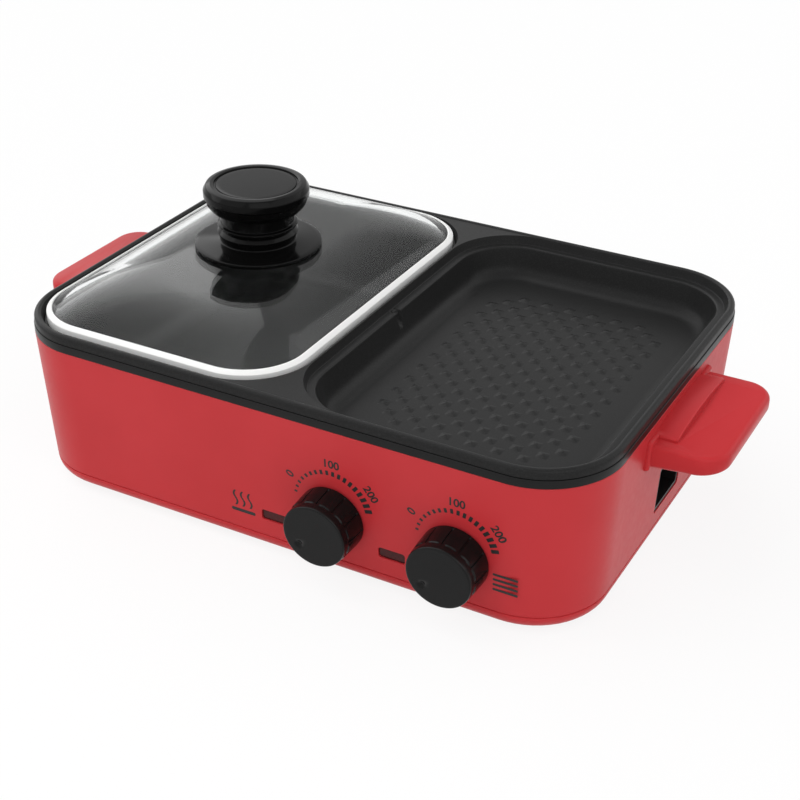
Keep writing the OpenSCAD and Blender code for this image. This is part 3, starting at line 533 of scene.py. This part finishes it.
def build_plate():
    shapes = []
    rim = rounded([(-3.2, Z_LIP, 0), (-0.4, Z_LIP, 0.4), (-0.4, 95.6, 0)], 4)
    rim += arc(-2.5, 96.6, 2.1, 0, 134, 14)[1:]
    shapes.append(loft(round_rings(rim, RIM_X, RIM_Y, RIM_R, steps=20)))
    edge_u = rim[-1][0]
    outline = [round_rings([(edge_u, Z_LAND)], RIM_X, RIM_Y, RIM_R, steps=20)[0]]
    extra = [i * 0.3 for i in range(-14, 15)]
    pot = well_section(POT_DEPTH, 13.0, 5)
    grill = well_section(GRILL_DEPTH, 9.5, 16)
    pot_rings = round_rings(pot, WELL_X, WELL_Y, WELL_R, -WELL_CX, Z_LAND, 20)
    grill_rings = round_rings(grill, WELL_X, WELL_Y, WELL_R, WELL_CX, Z_LAND, 20, extra, notch)
    outline += [pot_rings[0], grill_rings[0]]
    for rings in (pot_rings, grill_rings):
        shapes.append(loft(rings))
        shapes.append((rings[-1], [tuple(range(len(rings[-1])))]))
    bm = bmesh.new()
    edges = []
    for ring in outline:
        verts = [bm.verts.new((x, y, Z_LAND)) for x, y, _ in ring]
        edges += [bm.edges.new((a, b)) for a, b in zip(verts, verts[1:] + verts[:1])]
    bmesh.ops.triangle_fill(bm, use_beauty=True, edges=edges)
    bm.verts.index_update()
    shapes.append(([tuple(v.co) for v in bm.verts], [tuple(v.index for v in f.verts) for f in bm.faces]))
    bm.free()
    points, faces = join(shapes)
    plate = make_object("plate_casting", points, faces, NONSTICK, "pot_base",
                        nodes=("cooking_plate",))
    studs = []
    for col in range(-7, 8):
        for row in range(-11, 12):
            if (col + row) % 2 == 0 and abs(col) + abs(row) <= 16:
                studs.append(stud(WELL_CX + STUD_PITCH * col, STUD_PITCH * row, Z_LAND - GRILL_DEPTH))
    points, faces = join(studs)
    make_object("plate_studs", points, faces, NONSTICK, "pot_base", smooth=28)
    return plate


build_skirt()
build_plate()

# Handles


def build_handle(sign, name, node):
    """A slab with a sloped underside, a crowned pad on top and a flange at its root."""
    root, tip, half, corner = 163.0, 207.6, 43.8, 14.5
    outline = [(root, -half)] + arc(tip - corner, -half + corner, corner, -90, 0, 12)
    outline += arc(tip - corner, half - corner, corner, 0, 90, 12) + [(root, half)]
    top = [(x, y, Z_HANDLE) for x, y in outline]
    low = [(x, y, Z_HANDLE - 14.0 + 4.4 * max(0.0, (x - 170.0) / 36.1)) for x, y in outline]
    n = len(outline)
    slab = (low + top, [tuple(range(n - 1, -1, -1)), tuple(range(n, 2 * n))]
            + [(i, (i + 1) % n, n + (i + 1) % n, n + i) for i in range(n)])
    crown = []
    for i in range(25):
        y = -35.7 + 71.4 * i / 24
        crown.append((y, Z_HANDLE + 4.4 - 2.6 * (y / 35.7) ** 2))
    pad_line = [(-35.7, Z_HANDLE - 3)] + crown + [(35.7, Z_HANDLE - 3)]
    m = len(pad_line)
    pad = ([(163.5, y, z) for y, z in pad_line] + [(181.6, y, z) for y, z in pad_line],
           [tuple(range(m - 1, -1, -1)), tuple(range(m, 2 * m))]
           + [(i, (i + 1) % m, m + (i + 1) % m, m + i) for i in range(m)])
    flange_points, flange_faces = prism(bar_outline(91.2, 17.4, 2.0), -3.0, 2.4)
    flange = (moved(side(0, Z_HANDLE - 6.3, 1), flange_points), flange_faces)
    parts = []
    for (points, faces), width in ((slab, 3.0), (pad, 0.9), (flange, 1.9)):
        points = [(sign * x, y, z) for x, y, z in points]
        part = make_object(name, points, faces, GRIP, None)
        soften(part, width, 5)
        bake(part, 50)
        parts.append(part)
    handle = parts[0]
    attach(handle, "pot_base")
    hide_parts(node)
    combine(handle, parts[1:], "UNION")
    soften(handle, 0.7, 3, 40.0)
    bake(handle, 50)


build_handle(1, "handle_right_grip", "handle_right")
build_handle(-1, "handle_left_grip", "handle_left")

# Lid


def dome_rings(section, shoulder):
    """Rings of the glass; their corner radius eases from the rim's to the flat top's."""
    rim_r = WELL_R + LID_EDGE
    rings = []
    for u, v in section:
        share = min(1.0, max(0.0, (LID_EDGE - u) / shoulder))
        r = WELL_R + u if u > LID_EDGE else rim_r + (DOME_FLAT - DOME_STRAIGHT - rim_r) * share
        places = stations(WELL_X + u, WELL_Y + u, r, 24)
        rings.append([(px + nx * r - WELL_CX, py + ny * r, Z_LAND + v) for px, py, nx, ny in places])
    return rings


def build_lid():
    rim = [(-3.0, -4.2), (-3.2, -4.4), (-6.1, -4.4), (-6.3, -4.2)]
    rim += arc(-5.7, 2.0, 0.6, 180, 54, 6) + arc(-3.6, 0.5, 0.6, 54, 0, 5) + [(-3.0, -0.8), (-3.0, -2.5)]
    points, faces = loft(round_rings(rim, WELL_X, WELL_Y, WELL_R, -WELL_CX, Z_LAND, 24), True)
    make_object("lid_rim_band", points, faces, WHITE, "lid", nodes=("lid_rim",))
    # A thin dark ring along the inside of the white band, between the band and the glass edge.
    dark_ring_section = [(-6.25, -4.3), (-6.55, -4.3), (-6.55, 1.7), (-6.25, 1.7)]
    points, faces = loft(round_rings(dark_ring_section, WELL_X, WELL_Y, WELL_R, -WELL_CX, Z_LAND, 24), True)
    make_object("lid_dark_inner_ring", points, faces, RUBBER, "lid")
    low, rise, thick = -2.2, 16.5, 4.0
    shoulder = WELL_X + LID_EDGE - DOME_FLAT
    end = LID_EDGE - shoulder
    height = rise - low - thick
    radius = (shoulder ** 2 + height ** 2) / (2 * height)
    start = 90 - math.degrees(math.asin(shoulder / radius))
    outer = [(-5.2, low), (-5.2, low + thick)] + arc(end, rise - radius, radius, start, 90, 26)
    inner = [(LID_EDGE - 0.2, low)] + arc(end, rise - radius, radius - thick, start, 90, 26)
    rings = dome_rings(inner[::-1] + outer, shoulder)
    points, faces = loft(rings)
    n = len(rings[0])
    faces.append(tuple(range(n)))
    faces.append(tuple(range(len(points) - n, len(points))))
    make_object("lid_glass_dome", points, faces, GLASS, "lid", smooth=50,
                nodes=("lid_glass",))


def build_lid_knob():
    flange = [(3.0, 0, 0), (35.7, 0, 0.5), (35.7, 2.2, 0.8), (33.5, 2.6, 1.0), (21.0, 3.8, 1.0),
              (22.7, 8.8, 0.5), (19.4, 12.1, 0.5), (3.0, 12.1, 0)]
    head = [(2.6, 8.3, 0), (17.0, 8.3, 0), (17.0, 9.8, 0.6), (21.4, 11.6, 0.5), (22.4, 12.6, 0.5),
            (22.4, 13.8, 0.5), (20.7, 14.5, 0.4), (20.7, 22.4, 0.5), (25.6, 22.6, 1.4), (27.8, 25.6, 1.6),
            (28.6, 28.8, 0.6), (29.5, 29.8, 0.8), (29.5, 33.4, 1.8), (27.8, 36.2, 1.2), (25.4, 36.7, 0.6),
            (23.6, 36.5, 0.25), (23.3, 35.4, 0.25), (22.5, 35.4, 0.25), (22.2, 36.0, 0.3), (19.5, 36.05, 0),
            (0, 36.05, 0)]
    for name, corners, node in (("lid_knob_saucer", flange, "lid_knob_flange"),
                                ("lid_knob_head", head, "lid_knob")):
        section = [corners[0][:2]] + rounded(corners, 5)[1:]
        points, faces = revolve(section, 128)
        points = [(x - WELL_CX, y, z + LID_KNOB_Z) for x, y, z in points]
        make_object(name, points, faces, LID_KNOB, "lid", smooth=35, nodes=(node,))


build_lid()
build_lid_knob()

# Control knobs


def knob_points():
    """A knob with raised panels between narrow grooves, a plain front band and a dimpled flat face."""
    panels, groove, step = 12, 0.55, 0.45
    flat_radius = 17.58
    dimple_place, dimple_turn, dimple_radius, dimple_depth = 10.9, math.radians(218), 2.8, 1.2
    across = [0, 0.022, 0.036, 0.05, 0.09, 0.16, 0.25, 0.35, 0.45, 0.55, 0.65, 0.75, 0.84, 0.91,
              0.95, 0.964, 0.978]
    turns = [(i + t) / panels for i in range(panels) for t in across]
    steps = len(turns)
    rows = [(0.8, 1.2), (0.8, 16.0), (0.8, 18.0), (1.0, 18.36), (1.9, 18.36), (2.2, 18.36), (2.5, 18.35),
            (2.9, 18.34), (5, 18.28), (8, 18.2), (11, 18.12), (13.2, 18.06), (13.8, 18.04), (14.0, 17.99),
            (14.2, 17.84), (14.45, 18.04 - step), (14.8, 17.56), (16, 17.54), (18.0, 17.5), (18.35, 17.42),
            (18.6, 17.24), (18.75, 17.0), (18.8, 16.75)]
    points, faces = [], []
    for z, r in rows:
        cut = groove * min(1.0, max(0.0, (z - 2.0) / 0.6)) * min(1.0, max(0.0, (14.3 - z) / 0.3))
        for t in turns:
            off = abs((t * panels + 0.5) % 1.0 - 0.5)
            rr = r - cut * min(1.0, max(0.0, (0.05 - off) / 0.028))
            side_share = min(1.0, max(0.0, (0.26 - off) / 0.06))
            rr -= max(0.0, r - flat_radius) * side_share * min(1.0, max(0.0, (z - 9.0) / 5.0))
            points.append((rr * math.cos(math.tau * t), rr * math.sin(math.tau * t), z))
    for row in range(len(rows) - 1):
        for i in range(steps):
            k = (i + 1) % steps
            faces.append((row * steps + i, row * steps + k, (row + 1) * steps + k, (row + 1) * steps + i))
    last = (len(rows) - 1) * steps
    dimple = (dimple_place * math.cos(dimple_turn), dimple_place * math.sin(dimple_turn))
    radii = [16.0, 15.2, 14.4, 13.6, 12.9, 12.2, 11.5, 10.8, 10.1, 9.3, 8.4, 6, 3]
    for r in radii:
        base = len(points)
        for t in turns:
            x, y = r * math.cos(math.tau * t), r * math.sin(math.tau * t)
            gap = math.dist((x, y), dimple) / dimple_radius
            points.append((x, y, KNOB_REACH - (dimple_depth * (1 - gap * gap) ** 2 if gap < 1 else 0.0)))
        for i in range(steps):
            k = (i + 1) % steps
            faces.append((last + i, last + k, base + k, base + i))
        last = base
    faces.append(tuple(range(last, last + steps)))
    return points, faces


for x, name, node, body in ((KNOB_XS[0], "hot_pot_dial", "pot_knob", "pot_dial"),
                            (KNOB_XS[1], "grill_dial_knob", "grill_knob", "grill_dial")):
    points, faces = knob_points()
    make_object(name, moved(front(x, Z_KNOB), points), faces, KNOB, body, smooth=38,
                nodes=(node,))

# Printed scales, numerals and heat marks on the front


def tick_plates(cx, cz):
    """18 ticks that grow along an arc over the knob."""
    shapes = []
    for i in range(18):
        t = i / 17
        angle = math.radians(-78.5 + 154.5 * t)
        length = 1.75 + 2.5 * t ** 1.3
        width = 1.2 + 0.95 * t
        r = 21.45
        turn = Matrix.Rotation(-angle, 4, "Z")
        spot = Matrix.Translation((r * math.sin(angle), r * math.cos(angle), 0))
        points, faces = prism(bar_outline(width, length, 0.18, 2), -0.02, 0.05)
        shapes.append((moved(front(cx, cz) @ spot @ turn, points), faces))
    return join(shapes)


def numeral(name, text, x, z, turn, size=6.4):
    """A plain printed number, as a mesh."""
    curve = bpy.data.curves.new(name, "FONT")
    curve.body = text
    curve.size = size
    curve.align_x = "CENTER"
    curve.align_y = "CENTER"
    curve.extrude = 0.03
    curve.offset = 0.17
    holder = bpy.data.objects.new(name, curve)
    scene.collection.objects.link(holder)
    graph = bpy.context.evaluated_depsgraph_get()
    mesh = bpy.data.meshes.new_from_object(holder.evaluated_get(graph))
    matrix = front(x, z) @ Matrix.Rotation(math.radians(turn), 4, "Z")
    points = moved(matrix, [tuple(v.co) for v in mesh.vertices])
    faces = [tuple(p.vertices) for p in mesh.polygons]
    bpy.data.objects.remove(holder)
    make_object(name, points, faces, INK, "pot_base")


def wave(x0, y0, height, swing, width):
    """A wavy upright stroke."""
    left, right = [], []
    for i in range(13):
        t = i / 12
        x = x0 + swing * math.sin(math.tau * t)
        left.append((x - width / 2, y0 + height * t))
        right.append((x + width / 2, y0 + height * t))
    return left + right[::-1]


def strokes(name, x, z, outlines):
    shapes = []
    for outline in outlines:
        points, faces = prism(outline[::-1], -0.02, 0.05)
        shapes.append((moved(front(x, z), points), faces))
    points, faces = join(shapes)
    make_object(name, points, faces, INK, "pot_base")


for knob_x, name in ((KNOB_XS[0], "pot"), (KNOB_XS[1], "grill")):
    points, faces = tick_plates(knob_x + 0.2, 42.7)
    make_object(name + "_scale_ticks", points, faces, INK, "pot_base")
    numeral(name + "_number_low", "0", knob_x - 23.6, 56.6, 60)
    numeral(name + "_number_mid", "100", knob_x + 0.5, 69.4, 0)
    numeral(name + "_number_high", "200", knob_x + 22.6, 58.8, -54)
strokes("pot_heat_mark", -20.3, 29.0,
        [wave(dx, -3.4, 9.4, 1.0, 1.2) for dx in (-4.4, 0, 4.4)]
        + [[(x, y - 6.2) for x, y in bar_outline(14.6, 2.0, 0.8, 3)]])
strokes("grill_heat_mark", 129.6, 29.7,
        [[(x, y + dy) for x, y in bar_outline(13.4, 1.4, 0.6, 3)] for dy in (-4.5, -1.5, 1.5, 4.5)])

# Materials for the CAD nodes that show as they are

for material, nodes in (
        (STEEL, ("handle_screws", "lid_knob_screw", "tie_screws", "pot_shaft", "grill_shaft",
                 "thermostat_nuts")),
        (CREAM, ("pot_thermostat", "grill_thermostat", "indicator_lamps", "limiters", "terminal_block")),
        (LENS, ("pot_lens", "grill_lens")),
        (BLACK, ("inlet_housing",)),
        (BRASS, ("inlet_pins",)),
        (TUBE, ("pot_element", "grill_element", "element_clamps")),
        (SHEET, ("pot_shield", "grill_shield")),
        (SLEEVE, ("wiring",))):
    for node in nodes:
        dress(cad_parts[node], material)

# Floor, lights and camera


def build_floor():
    mesh = bpy.data.meshes.new("floor")
    half, down = 4.0, -0.0002
    corners = ((-half, -half), (half, -half), (half, half), (-half, half))
    mesh.from_pydata([(x, y, down) for x, y in corners], [], [(0, 1, 2, 3)])
    floor = bpy.data.objects.new("floor", mesh)
    scene.collection.objects.link(floor)
    material = bpy.data.materials.new("pale_floor")
    material.use_nodes = True
    tree = material.node_tree
    tree.nodes.clear()
    out = tree.nodes.new("ShaderNodeOutputMaterial")
    diffuse = tree.nodes.new("ShaderNodeBsdfDiffuse")
    diffuse.inputs["Color"].default_value = grey(0.92)
    white = tree.nodes.new("ShaderNodeEmission")
    white.inputs["Strength"].default_value = 1.0
    mix = tree.nodes.new("ShaderNodeMixShader")
    path = tree.nodes.new("ShaderNodeLightPath")
    bent = tree.nodes.new("ShaderNodeMath")
    bent.operation = "MAXIMUM"
    tree.links.new(path.outputs["Is Glossy Ray"], bent.inputs[0])
    tree.links.new(path.outputs["Is Transmission Ray"], bent.inputs[1])
    seen = tree.nodes.new("ShaderNodeMath")
    seen.operation = "MAXIMUM"
    tree.links.new(path.outputs["Is Camera Ray"], seen.inputs[0])
    tree.links.new(bent.outputs[0], seen.inputs[1])
    share = tree.nodes.new("ShaderNodeMath")
    share.operation = "MULTIPLY"
    share.inputs[1].default_value = 0.88
    tree.links.new(seen.outputs[0], share.inputs[0])
    tree.links.new(share.outputs[0], mix.inputs["Fac"])
    tree.links.new(diffuse.outputs[0], mix.inputs[1])
    tree.links.new(white.outputs[0], mix.inputs[2])
    tree.links.new(mix.outputs[0], out.inputs["Surface"])
    dress(floor, material)


def build_world():
    """Two large panels light the room. The camera, reflections and glass see a white backdrop."""
    world = bpy.data.worlds.new("studio")
    scene.world = world
    world.use_nodes = True
    tree = world.node_tree
    tree.nodes.clear()
    way = tree.nodes.new("ShaderNodeTexCoord").outputs["Generated"]
    split = tree.nodes.new("ShaderNodeSeparateXYZ")
    tree.links.new(way, split.inputs[0])

    def math_node(operation, a, b):
        node = tree.nodes.new("ShaderNodeMath")
        node.operation = operation
        for socket, value in zip(node.inputs, (a, b)):
            if isinstance(value, (int, float)):
                socket.default_value = value
            else:
                tree.links.new(value, socket)
        return node.outputs[0]

    def ease(value, start, end, low=0.0, high=1.0):
        node = tree.nodes.new("ShaderNodeMapRange")
        node.interpolation_type = "SMOOTHSTEP"
        tree.links.new(value, node.inputs["Value"])
        for name, number in (("From Min", start), ("From Max", end), ("To Min", low), ("To Max", high)):
            node.inputs[name].default_value = number
        return node.outputs[0]

    def beyond(normal):
        """1 on one side of a plane through the object, 0 on the other."""
        node = tree.nodes.new("ShaderNodeVectorMath")
        node.operation = "DOT_PRODUCT"
        tree.links.new(way, node.inputs[0])
        node.inputs[1].default_value = normal
        return ease(node.outputs["Value"], -0.006, 0.006)

    def panel(edges, low, level):
        """A lit sheet inside some edges and above a lowest height."""
        out = math_node("MULTIPLY", level, ease(split.outputs["Z"], low - 0.012, low + 0.012))
        for normal in edges:
            out = math_node("MULTIPLY", out, beyond(normal))
        return out

    left_edges = ((-0.316, -0.632, 0.707), (-0.678, -0.672, 0.300),
                  (-0.973, -0.196, -0.118), (-0.574, 0.819, 0))
    left = panel(left_edges, 0.24, ease(split.outputs["Z"], 0.25, 0.47, 2.2, 1.45))
    right_edges = ((0.859, -0.408, 0.309), (0.659, 0.541, -0.523), (0.5, 0.866, 0))
    right = panel(right_edges, 0.25, 1.0)
    panels = math_node("ADD", left, right)
    glow = math_node("MULTIPLY", ease(split.outputs["X"], -0.85, -0.2, 0.3, 1.0),
                     ease(split.outputs["Z"], -0.05, 0.3, 0.5, 0.0))
    ahead = math_node("MULTIPLY", ease(split.outputs["Y"], 0.1, -0.5),
                      ease(split.outputs["Z"], -0.1, 0.5, 0.55, 0.1))
    above = math_node("MULTIPLY", ease(split.outputs["Y"], -0.05, -0.2, 0.0, 1.6),
                      ease(split.outputs["Z"], 0.6, 0.75))
    light = math_node("ADD", panels, above)
    light = math_node("ADD", light, math_node("MAXIMUM", glow, ahead))
    light = math_node("ADD", light, 0.035)
    room = tree.nodes.new("ShaderNodeBackground")
    tree.links.new(light, room.inputs["Strength"])
    white = tree.nodes.new("ShaderNodeBackground")
    white.inputs["Color"].default_value = grey(1.0)
    room.inputs["Color"].default_value = grey(1.0)
    path = tree.nodes.new("ShaderNodeLightPath")
    bent = math_node("MAXIMUM", path.outputs["Is Glossy Ray"], path.outputs["Is Transmission Ray"])
    seen = math_node("MAXIMUM", path.outputs["Is Camera Ray"], bent)
    mirrored = math_node("MULTIPLY", panels, path.outputs["Is Glossy Ray"])
    tree.links.new(math_node("ADD", mirrored, 1.0), white.inputs["Strength"])
    mix = tree.nodes.new("ShaderNodeMixShader")
    out = tree.nodes.new("ShaderNodeOutputWorld")
    tree.links.new(seen, mix.inputs["Fac"])
    tree.links.new(room.outputs[0], mix.inputs[1])
    tree.links.new(white.outputs[0], mix.inputs[2])
    tree.links.new(mix.outputs[0], out.inputs["Surface"])


def softbox(name, place, target, width, height, power):
    light = bpy.data.lights.new(name, "AREA")
    light.shape = "RECTANGLE"
    light.size = width
    light.size_y = height
    light.energy = power
    obj = bpy.data.objects.new(name, light)
    scene.collection.objects.link(obj)
    obj.location = place
    obj.rotation_mode = "QUATERNION"
    obj.rotation_quaternion = (Vector(target) - Vector(place)).to_track_quat("-Z", "Y")


def build_camera():
    place = Vector((0.36813, -0.65722, 0.47961))
    target = Vector((0.01480, -0.00378, 0.04588))
    back = (place - target).normalized()
    right = Vector((0, 0, 1)).cross(back).normalized()
    up = back.cross(right)
    roll = math.radians(0.35)
    across = right * math.cos(roll) + up * math.sin(roll)
    upward = up * math.cos(roll) - right * math.sin(roll)
    data = bpy.data.cameras.new("camera")
    data.lens = 69.785
    data.sensor_width = 36.0
    data.clip_start = 0.02
    camera = bpy.data.objects.new("camera", data)
    scene.collection.objects.link(camera)
    camera.matrix_world = Matrix((
        (across.x, upward.x, back.x, place.x),
        (across.y, upward.y, back.y, place.y),
        (across.z, upward.z, back.z, place.z),
        (0, 0, 0, 1)))
    scene.camera = camera


build_floor()
build_world()
softbox("key_left", (-0.9, -1.5, 1.4), (0, 0, 0.05), 2.0, 1.4, 5)
softbox("key_right", (1.2, -1.5, 1.3), (0, 0, 0.05), 1.6, 1.2, 7)
build_camera()

scene.view_settings.view_transform = "Standard"
